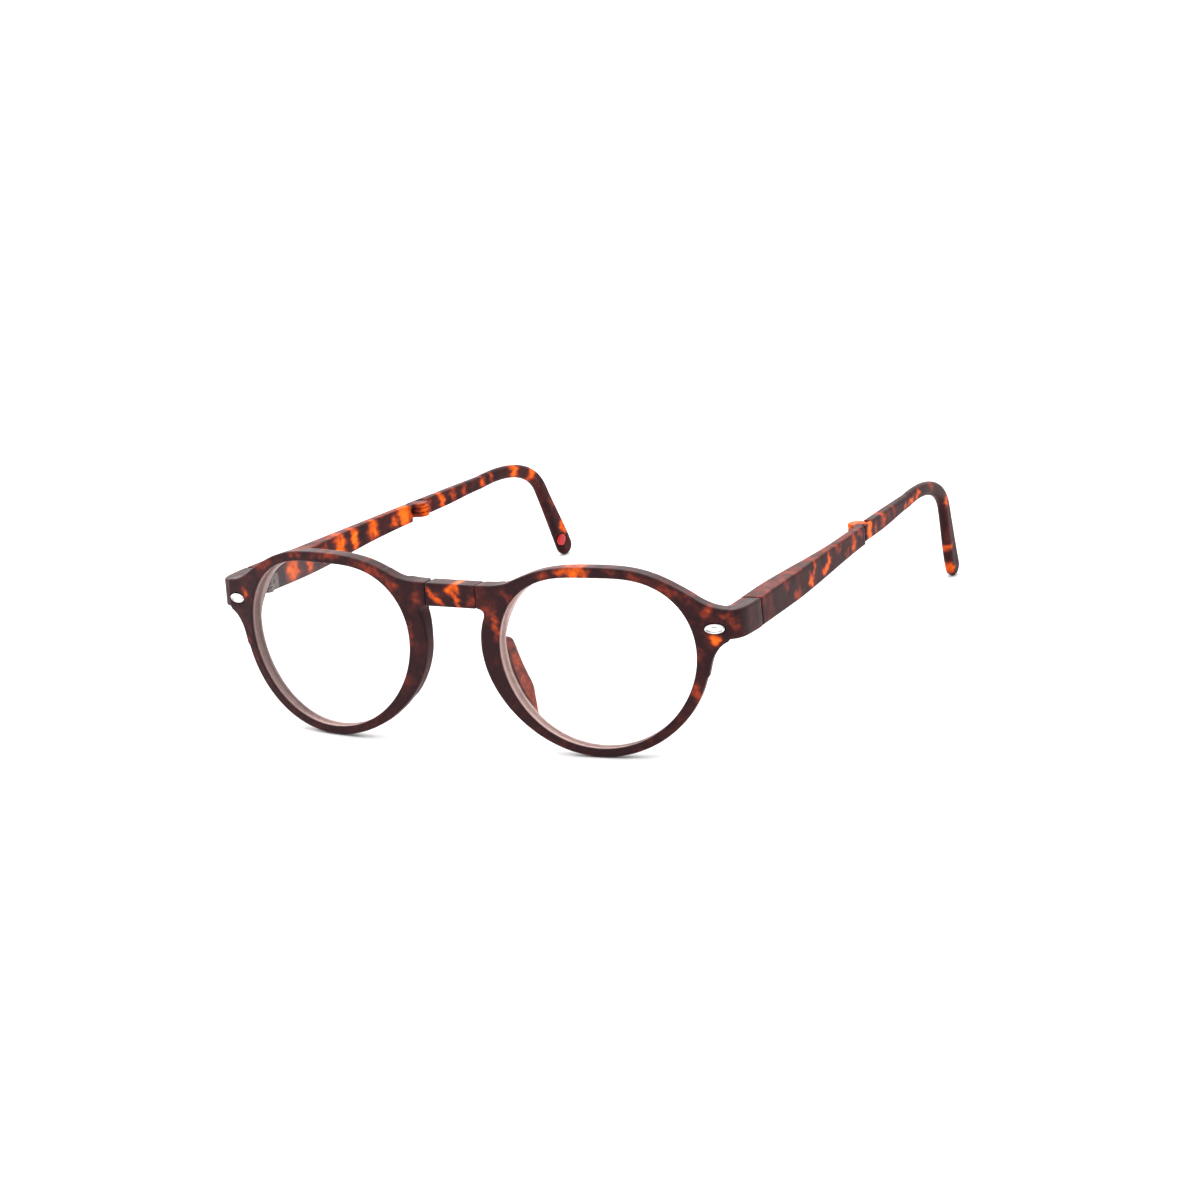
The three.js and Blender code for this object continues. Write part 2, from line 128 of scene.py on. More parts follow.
def ease(t):
    t = np.clip(t, 0, 1)
    return t * t * (3 - 2 * t)


def mix(a, b, t):
    return a + (b - a) * t


def join(a, b, round_=0.0):
    """Union, with a fillet about as wide as round_."""
    if round_ == 0:
        return np.minimum(a, b)
    h = np.clip(0.5 + 0.5 * (b - a) / round_, 0, 1)
    return mix(b, a, h) - round_ * h * (1 - h)


def keep(a, b, round_=0.0):
    """What is in both."""
    return -join(-a, -b, round_)


def cut(a, b, round_=0.0):
    """a without b."""
    return keep(a, -b, round_)


def rounded(a, b, radius):
    """What is in both a and b, with the edge between them rounded to a true radius."""
    p, q = a + radius, b + radius
    return np.minimum(np.maximum(p, q), 0) + np.hypot(np.maximum(p, 0), np.maximum(q, 0)) - radius


def between(value, low, high):
    return np.abs(value - (low + high) / 2) - (high - low) / 2


def brick(x, y, z, sizes, radius=0.0):
    """A box from its ranges (x0, x1, y0, y1, z0, z1), with rounded edges."""
    plan = rounded(between(x, *sizes[0:2]), between(y, *sizes[2:4]), radius)
    return rounded(plan, between(z, *sizes[4:6]), radius)


def post(x, y, z, centre, radius, low, high, edge=0.0):
    return rounded(np.hypot(x - centre[0], y - centre[1]) - radius, between(z, low, high), edge)


def polygon(x, y, corners):
    """Distance to a closed outline."""
    best = np.full(x.shape, 1e9)
    inside = np.zeros(x.shape, bool)
    for (ax, ay), (bx, by) in zip(corners, np.roll(corners, -1, 0)):
        ex, ey = bx - ax, by - ay
        wx, wy = x - ax, y - ay
        t = np.clip((wx * ex + wy * ey) / (ex * ex + ey * ey), 0, 1)
        best = np.minimum(best, (wx - ex * t) ** 2 + (wy - ey * t) ** 2)
        if ay != by:
            inside ^= ((ay > y) != (by > y)) & (wx < ex * wy / ey)
    return np.where(inside, -1, 1) * np.sqrt(best)


def outline(start, *steps, count=10):
    """Corners from a start and steps: (x, y) is a straight stretch, (cx, cy, x, y) a quadratic curve."""
    corners = [start]
    for step in steps:
        if len(step) == 2:
            corners.append(step)
            continue
        (ax, ay), (cx, cy, bx, by) = corners[-1], step
        for i in range(1, count + 1):
            t = i / count
            a, c, b = (1 - t) ** 2, 2 * t * (1 - t), t * t
            corners.append((a * ax + c * cx + b * bx, a * ay + c * cy + b * by))
    return np.array(corners)


# ---------- meshing ----------

BLOCK = 8  # grid steps along one block of the coarse search


def grid_values(field, low, step, counts):
    """The field on a grid, worked out only in blocks near the surface; elsewhere only its sign is right."""
    blocks = -(-counts // BLOCK)
    middles = [low[a] + step[a] * BLOCK * (np.arange(blocks[a]) + 0.5) for a in range(3)]
    coarse = field(*np.meshgrid(*middles, indexing="ij"))
    reach = np.linalg.norm(step) * (BLOCK / 2 + 1) * 1.25
    values = coarse
    for axis in range(3):
        values = np.repeat(values, BLOCK, axis)
    values = np.ascontiguousarray(values[:counts[0], :counts[1], :counts[2]])
    near = np.abs(values) < reach
    index = np.nonzero(near)
    points = [low[a] + step[a] * index[a] for a in range(3)]
    exact = np.empty(len(index[0]))
    for start in range(0, len(exact), 200000):
        part = slice(start, start + 200000)
        exact[part] = field(*(p[part] for p in points))
    values[index] = exact
    return values


def surface_net(values):
    """One point in each cell that the surface crosses, in grid steps, and the quads that join them."""
    inside = values < 0
    cells = np.array(values.shape) - 1
    corners = [(i, j, k) for i in (0, 1) for j in (0, 1) for k in (0, 1)]
    total = sum(inside[i:i + cells[0], j:j + cells[1], k:k + cells[2]].astype(np.int8) for i, j, k in corners)
    crossed = (total > 0) & (total < 8)
    index = np.argwhere(crossed)
    names = np.full(tuple(cells), -1, np.int64)
    names[crossed] = np.arange(len(index))
    sums, hits = np.zeros((len(index), 3)), np.zeros(len(index))
    for corner in corners:
        for axis in range(3):
            if corner[axis]:
                continue
            first = np.array(corner)
            second = first + np.eye(3, dtype=int)[axis]
            a = values[tuple((index + first).T)]
            b = values[tuple((index + second).T)]
            crossing = (a < 0) != (b < 0)
            t = np.where(crossing, a / np.where(crossing, a - b, 1), 0)
            sums += np.where(crossing[:, None], first + t[:, None] * (second - first), 0)
            hits += crossing
    points = index + sums / hits[:, None]
    quads = []
    for axis in range(3):
        u, v = (axis + 1) % 3, (axis + 2) % 3
        near = [slice(1, -1)] * 3
        far = [slice(1, -1)] * 3
        near[axis], far[axis] = slice(0, -1), slice(1, None)
        low_in, high_in = inside[tuple(near)], inside[tuple(far)]
        at = np.argwhere(low_in != high_in)
        outward = low_in[tuple(at.T)]
        at[:, u] += 1
        at[:, v] += 1
        du, dv = np.eye(3, dtype=int)[u], np.eye(3, dtype=int)[v]
        ring = [names[tuple((at - offset).T)] for offset in (du + dv, dv, 0 * du, du)]
        loop = np.stack(ring, 1)
        quads.append(np.where(outward[:, None], loop, loop[:, ::-1]))
    return points, np.concatenate(quads)


def settle(field, points, limit, rounds=3, probe=0.02):
    """Moves each point onto the surface."""
    for _ in range(rounds):
        value = field(*points.T)
        slope = np.empty_like(points)
        for axis in range(3):
            shift = np.zeros(3)
            shift[axis] = probe
            slope[:, axis] = (field(*(points + shift).T) - field(*(points - shift).T)) / (2 * probe)
        steep = np.maximum((slope ** 2).sum(1), 0.2)
        move = -(value / steep)[:, None] * slope
        length = np.linalg.norm(move, axis=1)
        points = points + move * np.minimum(1, limit / np.maximum(length, 1e-9))[:, None]
    return points


def skin(field, low, high, step):
    """Points and quads of a field's surface inside a box."""
    low, high, step = (np.array(v, float) for v in (low, high, step))
    counts = np.ceil((high - low) / step).astype(int) + 1
    points, quads = surface_net(grid_values(field, low, step, counts))
    return settle(field, low + points * step, step.min() * 0.6), quads


def add_piece(name, points, faces, body, nodes, material, side=1, shades=None):
    """A smooth mesh from wearing-frame points, which rides on a body and stands for CAD nodes."""
    mesh = bpy.data.meshes.new(name)
    faces = faces if isinstance(faces, list) else faces.tolist()
    if side < 0:
        faces = [face[::-1] for face in faces]
    mesh.from_pydata(place(points, side).tolist(), [], faces)
    mesh.validate()
    mesh.shade_smooth()
    for shade, values in (shades or {}).items():
        mesh.attributes.new(shade, "FLOAT", "POINT").data.foreach_set("value", values.astype(np.float32))
    mesh.materials.append(material)
    obj = bpy.data.objects.new(name, mesh)
    bpy.context.scene.collection.objects.link(obj)
    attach(obj, body)
    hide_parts(*nodes)


# ---------- the front ----------

LUG = outline((LINK_HALF + SLIT, LINK_TOP), (9.8, LINK_TOP + 0.1), (13.5, 4.4, 17.4, 5.9), (17, 0),
              (9, -3.6), (8.5, LINK_BOTTOM, LINK_HALF + SLIT, LINK_BOTTOM))
HORN = outline((49.5, 6.5), (54.6, 5.2, 58.2, 2.9), (61.2, 0.7, 65.6, -0.1), (65.6, -6.9),
               (62.2, -8.2, 60.7, -14.2), (58.5, -13), (57, 0))
CORNER = outline((58.6, 6.1), (62, 6.2), (65, 6.6), (67.9, 7.1, HINGE_X, 11), (HINGE_X, HINGE_Y),
                 (HINGE_X - 0.5, HINGE_Y + 6), (62.6, HINGE_Y + 6), (63.5, 10.9), (61.5, 9.7, 58.6, 8.9))


def lens_radius(angle):
    return (LENS_MEAN + LENS_WIDE * np.cos(2 * angle) + LENS_CORNER * np.sin(3 * angle)
            - LENS_SQUARE * np.cos(4 * angle))


def bump(angle, centre, before, after):
    away = np.arctan2(np.sin(angle - centre), np.cos(angle - centre))
    return np.exp(-((away / np.where(away < 0, before, after)) ** 2))


def rim_width(angle):
    return (RIM_THIN + RIM_NASAL * bump(angle, 172 * RAD, 32 * RAD, 41 * RAD)
            + RIM_TEMPORAL * bump(angle, 0, 45 * RAD, 45 * RAD)
            + RIM_TOP * bump(angle, 90 * RAD, 40 * RAD, 40 * RAD))


def rim_depth(height):
    """The rim is as deep as the bridge at its top, and shallower below."""
    return mix(LOW_DEPTH, DEPTH, ease((height + 9) / 8))


def nose_pad(s, depth, z):
    """A fin that leans outwards from the back of the rim, deepest above its middle."""
    up = np.clip((z - PAD_LOW) / (PAD_HIGH - PAD_LOW), 0, 1)
    swell = np.sin(up * up * math.pi) ** 0.4
    edge = 7.0 + 0.0268 * np.maximum(-7.5 - z, 0) ** 2
    root_s, root_d = edge + 2.6, 2.9
    tip_s, tip_d = edge + 2.4 + 2.9 * swell, 2.9 + 4.5 * swell
    es, ed = tip_s - root_s, tip_d - root_d
    t = np.clip(((s - root_s) * es + (depth - root_d) * ed) / np.maximum(es * es + ed * ed, 0.01), 0, 1)
    radius = mix(1.5, 1.15, t) * mix(0.45, 1, swell)
    flat = np.hypot(s - root_s - es * t, depth - root_d - ed * t) - radius
    return keep(flat, between(z, PAD_LOW, PAD_HIGH), 1.2)


def bridge_cuts(s, depth, z):
    """What the link's tongue and the turning of the bridge joint need out of the lug."""
    pin = (PIN_S, PIN_DEPTH)
    room = PIN_KNUCKLE + GAP
    hole = post(s, depth, z, pin, PIN_RADIUS + GAP, LINK_BOTTOM + 0.3 - GAP, LINK_TOP - 0.3 + GAP)
    turn = post(s, depth, z, pin, room, SLOT_LOW, SLOT_HIGH)
    open_ = brick(s, depth, z, (4, PIN_S, PIN_DEPTH - room, DEPTH + 2, SLOT_LOW, SLOT_HIGH))
    corner = brick(s, depth, z, (4, PIN_S, PIN_DEPTH, DEPTH + 2, LINK_BOTTOM - 1, LINK_TOP + 1))
    corner = cut(corner, np.hypot(s - PIN_S, depth - PIN_DEPTH) - PIN_KNUCKLE)
    return join(join(hole, turn), join(open_, corner))


def rim_field(x, y, z):
    s, depth, h = front_space(x, y, z)
    angle = np.arctan2(h - LENS_Z, s - LENS_S)
    opening = np.hypot(s - LENS_S, h - LENS_Z) - lens_radius(angle)
    shape = join(opening - rim_width(angle), polygon(s, h, LUG), 0.8)
    shape = join(shape, polygon(s, h, HORN), 1.2)
    back = rim_depth(h)
    plate = rounded(np.maximum(shape, -opening), between(depth, 0, back), RIM_EDGE)
    plate = np.maximum(plate, rounded(shape, depth - back, BACK_EDGE) - 3 * ease((13 - s) / 4))
    body = join(plate, nose_pad(s, depth, h), 1.4)
    body = cut(body, np.maximum(opening, depth - back - 0.3), 0.2)
    lean = h * math.sin(LEAN) * np.clip((HINGE_Y - y) / 8, 0, 1)
    bar = rounded(polygon(x, y - lean, CORNER), between(z, -TALL_HINGE - 0.1, 0), 0.5)
    body = join(body, bar, 0.8)
    groove = np.maximum(opening - GROOVE_DEPTH, between(depth, GROOVE_FROM, GROOVE_TO))
    body = cut(body, groove, 0.12)
    across, along = to_temple(x, y)
    body = cut(body, np.maximum(across + THICK_HINGE, -along - 5.2), 0.2)
    body = keep(body, along - SEAM + GAP, 0.3)
    oval = (np.hypot((s - RIVET_S) / (RIVET_LONG + GAP), (h - RIVET_Z) / (RIVET_TALL + GAP)) - 1) * RIVET_TALL
    body = cut(body, np.maximum(oval, depth - RIVET_SUNK - GAP), 0.12)
    return cut(body, bridge_cuts(s, depth, h), 0.15)


def link_field(x, y, z):
    s, depth, h = front_space(np.abs(x), y, z)
    body = brick(s, depth, h, (-LINK_HALF, LINK_HALF, 0, DEPTH, LINK_BOTTOM, LINK_TOP), RIM_EDGE)
    low, high = SLOT_LOW + GAP, SLOT_HIGH - GAP
    neck = brick(s, depth, h, (5, PIN_S, PIN_DEPTH - PIN_KNUCKLE, DEPTH, low, high), 0.1)
    knuckle = post(s, depth, h, (PIN_S, PIN_DEPTH), PIN_KNUCKLE, low, high, 0.15)
    bore = np.hypot(s - PIN_S, depth - PIN_DEPTH) - PIN_RADIUS - GAP
    return cut(join(body, join(neck, knuckle)), bore)


# ---------- the temples ----------

def thickness(along):
    return mix(THICK_HINGE, THICK_FOLD, ease((along - 8) / 40))


def tall(along):
    front = mix(TALL_HINGE, TALL_FOLD, ease((along - 18) / 46))
    return mix(front, TALL_REAR, ease((along - FOLD_ALONG) / 24))


def toe_in(z):
    return TOE_IN * ease((-2 - z) / 26)


THIRD = FOLD_TALL / 3
TONGUE = (-2 * THIRD + GAP / 2, -THIRD - GAP / 2)
EARS = ((-FOLD_TALL, -2 * THIRD - GAP / 2), (-THIRD + GAP / 2, 0.0))
CLEAR = FOLD_ALONG + FOLD_KNUCKLE + 0.3


def fold_knuckle(across, along):
    return np.hypot(across - FOLD_ACROSS, along - FOLD_ALONG) - FOLD_KNUCKLE


def fold_bore(across, along, z):
    return post(across, along, z, (FOLD_ACROSS, FOLD_ALONG), FOLD_PIN + GAP, -FOLD_TALL + 0.25, -0.25)


def temple_front_field(across, along, z):
    thick, high = thickness(along), tall(along)
    body = rounded(between(across, -thick, 0), between(z, -high, 0), 0.5)
    body = keep(body, between(along, SEAM + GAP, FOLD_SEAM - GAP), 0.3)
    wide = between(across, FOLD_ACROSS + 0.2, -FOLD_SKIN - GAP)
    web = rounded(wide, between(along, FOLD_SEAM - 1.5, FOLD_ALONG), 0)
    plan = join(fold_knuckle(across, along), web, 0.2)
    for low, top in EARS:
        body = join(body, rounded(plan, between(z, low, top), 0.25))
    return cut(body, fold_bore(across, along, z))


def hook_line():
    """The rear half's middle line as rows of along, z and half height."""
    rows = []
    for along in np.linspace(FOLD_SEAM - 2, HOOK_START, 16):
        high = tall(along) - FOLD_STEP * (1 - ease((along - FOLD_SEAM) / 20))
        rows.append((along, -high / 2, high / 2))
    level = TALL_REAR / 2
    bend = np.array([(HOOK_START, -level), (102.3, -0.25), (110, -3.9), (111.8, -9.15)])
    tip = np.array([TIP_ALONG, TIP_Z + TIP_HALF])
    for u in np.linspace(0, 1, 21)[1:]:
        a, b = 1 - u, u
        p = a ** 3 * bend[0] + 3 * a * a * b * bend[1] + 3 * a * b * b * bend[2] + b ** 3 * bend[3]
        rows.append((p[0], p[1], mix(level, HOOK_HALF, ease(u - 0.2))))
    for u in np.linspace(0, 1, 9)[1:]:
        p = mix(bend[3], tip, u)
        rows.append((p[0], p[1], mix(HOOK_HALF, TIP_HALF, ease(u))))
    return np.array(rows)


HOOK = hook_line()


def temple_rear_field(across, along, z):
    side = np.full(along.shape, 1e9)
    for (a0, z0, h0), (a1, z1, h1) in zip(HOOK[:-1], HOOK[1:]):
        ea, ez = a1 - a0, z1 - z0
        t = np.clip(((along - a0) * ea + (z - z0) * ez) / (ea * ea + ez * ez), 0, 1)
        side = np.minimum(side, np.hypot(along - a0 - ea * t, z - z0 - ez * t) - mix(h0, h1, t))
    soft = mix(0.5, 1.15, ease((along - 68) / 30))
    body = rounded(side, between(across + toe_in(z), -THICK_FOLD, 0), soft)
    body = keep(body, FOLD_SEAM + GAP - along, 0.3)
    behind = np.maximum(across + FOLD_SKIN, along - CLEAR)
    body = cut(body, behind, 0.15)
    wide = between(across, FOLD_ACROSS + 0.1, -FOLD_SKIN + 0.3)
    web = rounded(wide, between(along, FOLD_ALONG, CLEAR + 0.6), 0)
    tongue = rounded(join(fold_knuckle(across, along), web, 0.2), between(z, *TONGUE), 0.2)
    return cut(join(body, tongue), fold_bore(across, along, z))


def dot_pocket(across, along, z):
    face = -THICK_FOLD - toe_in(DOT_Z)
    disc = np.hypot(along - DOT_ALONG, z - DOT_Z) - DOT_RADIUS - GAP
    return np.maximum(disc, across - face - DOT_SUNK - GAP)


def temple_rear_with_pocket(across, along, z):
    return cut(temple_rear_field(across, along, z), dot_pocket(across, along, z), 0.12)


# ---------- small metal pieces ----------

BAND = (AXIS_TOP - AXIS_BOTTOM) / 3
FRONT_EDGE = AXIS_ALONG - BARREL - 0.3
REAR_EDGE = AXIS_ALONG + BARREL + 0.3
LEAF_EDGE = 0.15  # rounding of the leaves


def barrels(across, along, z, low, high, web_to):
    axis = (AXIS_ACROSS, AXIS_ALONG)
    start, end = min(web_to, AXIS_ALONG), max(web_to, AXIS_ALONG)
    web = brick(across, along, z, (AXIS_ACROSS + 0.1, LEAF_OUTER, start, end, low, high), 0.05)
    return join(post(across, along, z, axis, BARREL, low, high, 0.12), web)


def leaf_rivet(across, along, z, at):
    """A low domed head on the leaf's inner face."""
    height = (AXIS_TOP + AXIS_BOTTOM) / 2
    away = np.sqrt((across - LEAF_INNER - HEAD_SUNK) ** 2 + (along - at) ** 2 + (z - height) ** 2)
    return np.maximum(away - HEAD_BALL, across - LEAF_INNER - 0.1)


def screw_bore(across, along, z):
    return np.hypot(across - AXIS_ACROSS, along - AXIS_ALONG) - SCREW - GAP


def front_leaf_field(across, along, z):
    sizes = (LEAF_INNER, LEAF_OUTER, LEAF_FRONT, FRONT_EDGE, AXIS_BOTTOM, AXIS_TOP)
    leaf = brick(across, along, z, sizes, LEAF_EDGE)
    for band in (0, 2):
        low = AXIS_BOTTOM + band * BAND
        leaf = join(leaf, barrels(across, along, z, low, low + BAND, FRONT_EDGE - 0.3))
    leaf = join(leaf, leaf_rivet(across, along, z, FRONT_RIVET))
    return cut(leaf, screw_bore(across, along, z))


def temple_leaf_field(across, along, z):
    sizes = (LEAF_INNER, LEAF_OUTER, REAR_EDGE, LEAF_REAR, AXIS_BOTTOM, AXIS_TOP)
    leaf = brick(across, along, z, sizes, LEAF_EDGE)
    low, high = AXIS_BOTTOM + BAND + GAP, AXIS_TOP - BAND - GAP
    leaf = join(leaf, barrels(across, along, z, low, high, REAR_EDGE + 0.3))
    leaf = join(leaf, leaf_rivet(across, along, z, REAR_RIVET))
    return cut(leaf, screw_bore(across, along, z))


def screw_field(across, along, z):
    axis = (AXIS_ACROSS, AXIS_ALONG)
    head = post(across, along, z, axis, SCREW_HEAD, AXIS_TOP + GAP, AXIS_TOP + 0.65, 0.18)
    slot_cut = np.maximum(np.abs(across - AXIS_ACROSS) - SCREW_SLOT, AXIS_TOP + 0.4 - z)
    shank = post(across, along, z, axis, SCREW, AXIS_BOTTOM, AXIS_TOP + 0.3, 0.08)
    return join(cut(head, slot_cut), shank)


def turned(rings, count):
    """Points (share, angle, height) and faces of a closed turned form.

    Its rings are (share of the radius, height), and the first and last are single points on the axis.
    """
    angles = np.arange(count) * 2 * math.pi / count
    points = [(0.0, 0.0, rings[0][1])]
    for share, height in rings[1:-1]:
        points += [(share, a, height) for a in angles]
    points.append((0.0, 0.0, rings[-1][1]))
    faces = []
    last = len(points) - 1
    for i in range(count):
        j = (i + 1) % count
        faces.append((0, 1 + j, 1 + i))
        for row in range(len(rings) - 3):
            a, b = 1 + row * count, 1 + (row + 1) * count
            faces.append((a + i, a + j, b + j, b + i))
        faces.append((last, last - count + i, last - count + j))
    return np.array(points), faces


def rivet_mesh():
    """An oval rivet: a rolled edge round a slightly dished face."""
    rings = [(0, 0.9), (0.6, 0.9), (0.93, 0.9), (1.0, 0.8), (1.0, 0.0), (0.985, -0.16), (0.94, -0.29),
             (0.87, -0.35), (0.8, -0.33), (0.74, -0.25), (0.66, -0.2), (0.45, -0.22), (0.2, -0.25), (0, -0.26)]
    points, faces = turned(rings, 64)
    share, angle, height = points.T
    s = RIVET_S + RIVET_LONG * share * np.cos(angle)
    z = RIVET_Z + RIVET_TALL * share * np.sin(angle)
    return on_front(s, height, z), faces


def dot_mesh():
    """A round enamel inlay with a domed face that looks inwards."""
    rings = [(0, 0.5), (0.95, 0.5), (1.0, 0.42), (1.0, 0.0),
             (0.98, -0.08), (0.9, -0.12), (0.6, -0.15), (0, -0.17)]
    points, faces = turned(rings, 48)
    share, angle, height = points.T
    across = -THICK_FOLD - toe_in(DOT_Z) + height
    return from_temple(across, DOT_ALONG - DOT_RADIUS * share * np.cos(angle),
                       DOT_Z + DOT_RADIUS * share * np.sin(angle)), faces


def lens_mesh():
    """A lens with two curved faces and a bevelled edge that sits in the rim's groove."""
    seat = GROOVE_DEPTH - 2 * GAP
    front, back = GROOVE_FROM + 2 * GAP, GROOVE_TO - 2 * GAP
    middle = (front + back) / 2
    faces_in = [i / 18 for i in range(18)] + [0.98, 0.995, 1]
    rows = [(r, front - DOME_FRONT * (1 - r * r), 0) for r in faces_in]
    rows += [(1, front + 0.12, seat * 0.3), (1, middle - 0.1, seat * 0.92), (1, middle, seat),
             (1, middle + 0.1, seat * 0.92), (1, back - 0.12, seat * 0.3)]
    rows += [(r, back - DOME_BACK * (1 - r * r), 0) for r in reversed(faces_in)]
    rings = [(i, 0) for i in range(len(rows))]
    points, faces = turned(rings, 160)
    index, angle, _ = points.T
    row = np.array(rows)[np.round(index).astype(int)]
    row[-1] = rows[-1]  # the last point, on the axis, has index 0 but belongs to the last row
    reach = row[:, 0] * (lens_radius(angle) + row[:, 2])
    return on_front(LENS_S + reach * np.cos(angle), row[:, 1], LENS_Z + reach * np.sin(angle)), faces


# ---------- colour patches ----------

# Amber patches of the tortoiseshell: centre, half sizes, turn in degrees and strength (0.5 is red-brown, 1 is
# bright). Those of the front are in s and z, and those of the temples in along and z.
RIM_PATCHES = {
    "left": [
        (31.2, 8.2, 4.0, 1.3, 0, 1.0), (24.2, 6.9, 1.6, 1.0, 20, 0.5), (11.2, -4.4, 0.9, 3.6, 4, 0.65),
        (46.6, 6.7, 2.4, 0.9, -18, 0.35), (53.0, 4.2, 2.4, 1.0, -28, 0.35), (57.2, 2.6, 2.0, 1.0, -28, 0.4),
        (61.2, -0.2, 1.3, 1.3, 0, 0.55), (57.8, -17.6, 1.1, 2.2, 18, 0.7), (59.2, -9.6, 0.8, 2.2, 8, 0.4),
        (39.9, 8.6, 1.6, 0.8, 0, 0.35), (62.9, -6.2, 1.2, 1.0, 0, 1.05), (65.6, -0.9, 1.6, 0.8, -10, 0.5),
        (67.2, -2.6, 1.2, 1.6, 0, 0.5), (15.4, 1.6, 1.2, 2.4, 30, 0.35), (9.4, -1.2, 1.2, 1.0, 0, 0.35),
    ],
    "right": [
        (33.4, 8.5, 4.0, 0.8, 0, 0.5), (21.6, 6.4, 3.6, 1.0, 22, 0.42), (60.3, -2.4, 0.9, 1.4, 0, 0.7),
        (15.6, 3.4, 2.2, 1.3, 30, 0.45), (42.8, 8.2, 2.2, 0.8, -8, 0.4), (9.0, 0.6, 1.2, 1.4, 0, 0.45),
        (14.0, -20.6, 1.2, 3.0, 35, 0.4), (53.0, 4.8, 2.6, 1.0, -25, 0.4), (11.4, -7.4, 0.8, 3.0, 0, 0.35),
        (60.2, -13.2, 0.7, 2.6, 12, 0.4),
    ],
}
LINK_PATCHES = [
    (-4.3, 1.2, 2.8, 0.8, -42, 0.95), (0.9, 3.0, 1.9, 1.2, 0, 1.15), (1.3, 1.1, 2.2, 0.9, -62, 1.0),
    (5.2, 0.4, 1.0, 1.4, 0, 0.4),
]
TEMPLE_PATCHES = {
    "left": [
        (20.8, -4.8, 2.2, 1.2, 8, 0.62), (16.0, -1.2, 1.6, 1.0, 0, 0.4), (28.6, -3.6, 1.2, 1.6, -18, 1.05),
        (30.6, -1.7, 0.8, 1.8, -22, 0.8), (36.6, -3.6, 1.9, 1.0, 6, 1.05), (38.9, -2.2, 0.9, 1.7, -14, 0.95),
        (44.6, -0.9, 1.6, 1.2, -14, 0.55), (49.4, -3.4, 1.4, 1.0, -10, 0.45), (53.6, -2.2, 1.2, 2.6, -12, 0.68),
        (57.6, -0.8, 1.6, 1.1, -10, 0.5), (62.8, -2.0, 1.3, 2.8, -10, 1.1), (66.6, -2.6, 0.8, 1.6, -10, 0.65),
        (71.4, -1.4, 1.4, 2.2, -10, 0.68), (78.4, -1.0, 1.2, 1.4, -10, 0.4), (85.2, -2.2, 1.4, 0.8, 10, 0.8),
        (88.6, -1.7, 1.8, 0.8, 10, 1.0), (92.8, -1.2, 1.5, 0.9, 0, 0.9), (101.6, -1.4, 1.1, 1.6, 0, 0.5),
        (110.9, -7.0, 1.3, 1.7, 0, 0.8), (112.9, -19.9, 2.8, 0.8, 15, 0.75), (114.4, -25.4, 1.6, 1.6, 0, 0.95),
    ],
    "right": [
        (12.3, -3.4, 2.2, 2.8, 10, 1.0), (19.0, -3.0, 1.1, 2.4, 8, 0.6), (25.6, -2.6, 1.4, 2.8, 8, 0.6),
        (31.7, -2.4, 2.0, 2.8, 8, 1.0), (37.6, -2.2, 1.4, 2.8, 8, 0.95), (44.8, -2.0, 2.0, 2.8, 8, 0.95),
        (53.2, -2.6, 1.9, 1.3, 0, 0.8), (57.4, -1.9, 2.6, 2.5, 0, 1.1), (62.4, -2.0, 1.4, 2.2, 0, 0.8),
        (66.4, -1.8, 1.0, 2.2, 6, 0.55), (71.7, -1.6, 1.0, 2.2, 6, 0.95), (76.0, -1.4, 1.2, 1.8, 6, 0.65),
        (80.6, -1.8, 1.0, 1.6, 6, 0.5), (88.3, -1.6, 1.2, 1.9, 6, 0.8), (91.8, -1.6, 0.9, 1.9, 6, 0.75),
        (100.8, -1.5, 1.5, 2.4, 0, 1.05), (107.6, -4.2, 1.5, 1.5, -30, 0.85), (113.6, -13.0, 0.8, 1.8, 18, 0.4),
        (116.6, -20.4, 1.3, 1.8, 20, 0.85),
    ],
}


BARREL_AMBER = {"left": 0.95, "right": 0.3}


def amber_at(u, v, patches):
    """How much light tortoiseshell there is at each place: soft ellipses with wavering edges."""
    total = np.zeros(u.shape)
    for cu, cv, hu, hv, turn, strength in patches:
        c, s = math.cos(turn * RAD), math.sin(turn * RAD)
        du = u - cu + 0.3 * np.sin(2.3 * v + 1.7 * cu) + 0.15 * np.sin(5.1 * v + cu)
        dv = v - cv + 0.3 * np.sin(1.9 * u + 2.9 * cv)
        away = ((du * c + dv * s) / hu) ** 2 + ((dv * c - du * s) / hv) ** 2
        total = np.maximum(total, strength * np.exp(-0.6 * away ** 1.8))
    return total


# ---------- materials ----------

